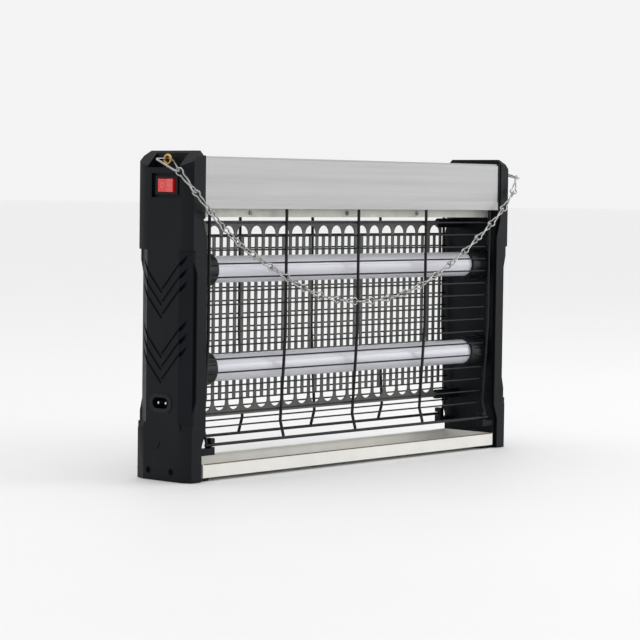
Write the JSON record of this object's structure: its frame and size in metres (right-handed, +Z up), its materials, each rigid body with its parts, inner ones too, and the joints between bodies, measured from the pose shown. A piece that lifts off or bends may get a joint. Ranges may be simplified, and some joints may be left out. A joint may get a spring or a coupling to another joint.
{
  "type": "bug_zapper",
  "caption": "Hanging electric insect killer with black end caps, aluminium roof, frosted UV tubes, electrode combs, wire guards, catch tray and a chain",
  "frame": {"origin": "under the middle of the unit, on the surface it stands on", "axes": "+X along the tubes towards the right-hand cap, front faces -Y, +Z up"},
  "size_m": [0.5235, 0.0825, 0.31],
  "materials": {
    "black_plastic": "fine grained, slightly dusty",
    "gloss_black": "smooth",
    "dark_holder": "smooth moulded",
    "red_plastic": "translucent, glossy",
    "satin_aluminium": "satin anodised, drawn along X",
    "bare_aluminium": "plain",
    "galvanised": "zinc coated",
    "electrode_steel": "punched sheet, dull",
    "black_wire": "powder coated",
    "tube_glass": "frosted with inner coating",
    "brass": "plain",
    "core_steel": "lacquered laminations",
    "winding_tape": "tape wrapped",
    "circuit_board": "bare laminate",
    "can_sleeve": "shrink sleeve",
    "capacitor_blue": "dipped",
    "white_nylon": "natural",
    "screw_steel": "zinc coated",
    "dark_screw": "black oxide",
    "nickel": "nickel plated",
    "tray_paint": "pale enamel",
    "chain_steel": "nickel plated wire"
  },
  "bodies": {
    "unit": {"left_end_cap": "black_plastic", "right_end_cap": "black_plastic", "left_inner_plate": "black_plastic", "right_inner_plate": "black_plastic", "roof_profile": "satin_aluminium", "gear_channel": "galvanised", "front_guard": "black_wire", "front_guard_clips": "black_plastic", "rear_guard_clips": "black_plastic", "upper_electrode_comb": "electrode_steel", "lower_electrode_comb": "electrode_steel", "upper_comb_insulators": "black_plastic", "lower_comb_insulators": "black_plastic", "upper_tube_glass": "tube_glass", "lower_tube_glass": "tube_glass", "upper_tube_caps": "bare_aluminium", "lower_tube_caps": "bare_aluminium", "upper_tube_pins": "brass", "lower_tube_pins": "brass", "upper_left_lamp_holder": "dark_holder", "upper_right_lamp_holder": "dark_holder", "lower_left_lamp_holder": "dark_holder", "lower_right_lamp_holder": "dark_holder", "switch_body": "gloss_black", "switch_tabs": "brass", "inlet_housing": "gloss_black", "inlet_pins": "nickel", "transformer_core": "core_steel", "transformer_winding": "winding_tape", "transformer_strap": "galvanised", "ballast_board_1": "circuit_board", "ballast_board_2": "circuit_board", "multiplier_board": "circuit_board", "ballast_coils": "winding_tape", "ballast_capacitors": "can_sleeve", "multiplier_capacitors": "capacitor_blue", "board_spacers": "white_nylon", "terminal_block": "white_nylon", "cap_screws": "dark_screw", "roof_screws": "screw_steel", "channel_screws": "screw_steel", "left_hanging_eye": "brass", "right_hanging_eye": "brass"},
    "rocker": {"switch_rocker": "red_plastic"},
    "tray": {"catch_tray": "tray_paint"},
    "rear_guard": {"rear_guard": "black_wire"},
    "chain": {"left_chain_hook": "chain_steel", "chain_links": "chain_steel", "right_chain_hook": "chain_steel"}
  },
  "joints": [
    {"name": "rocker_tilt", "type": "hinge", "parent": "unit", "child": "rocker", "pos_m": [-0.2378, -0.0016, 0.2773], "axis": [0, 0, 1], "range_deg": [0, 14]},
    {"name": "tray_slide", "type": "slide", "parent": "unit", "child": "tray", "axis": [0, -1, 0], "range_m": [0, 0.08]},
    {"name": "rear_guard_swing", "type": "hinge", "parent": "unit", "child": "rear_guard", "pos_m": [0, 0.031, 0.2535], "axis": [1, 0, 0], "range_deg": [0, 85]},
    {"name": "chain_swing", "type": "hinge", "parent": "unit", "child": "chain", "pos_m": [0, 0, 0.302], "axis": [-1, 0, 0], "range_deg": [0, 160]}
  ]
}
